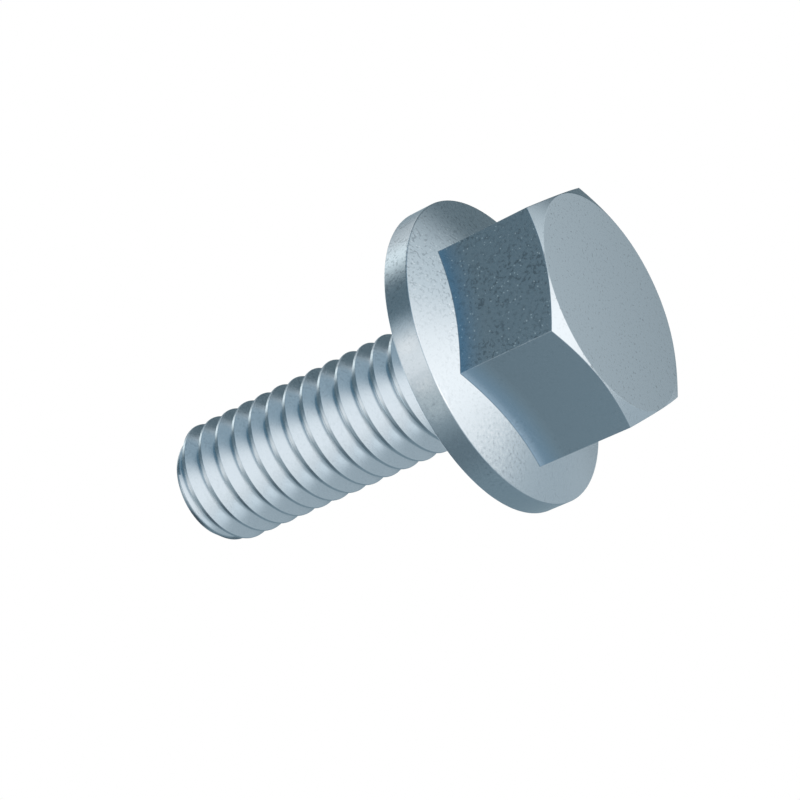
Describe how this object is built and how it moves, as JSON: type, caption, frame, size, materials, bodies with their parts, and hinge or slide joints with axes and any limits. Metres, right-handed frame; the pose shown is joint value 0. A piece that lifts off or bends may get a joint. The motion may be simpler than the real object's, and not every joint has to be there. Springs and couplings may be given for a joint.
{
  "type": "flange bolt",
  "caption": "Hexagon flange bolt: a chamfered hexagon head forged in one with a sloping round flange, on a shank threaded up to the head.",
  "frame": {"origin": "middle of the head's flat end face, on which the bolt stands", "axes": "+Z along the bolt's axis, from the head's end face to the thread's tip; two corners of the hexagon lie on X"},
  "size_m": [0.0142, 0.0142, 0.0225],
  "materials": {
    "zinc_plated_steel": "zinc plated, blue passivated"
  },
  "bodies": {
    "root": {"flange_bolt": "zinc_plated_steel"}
  },
  "joints": []
}
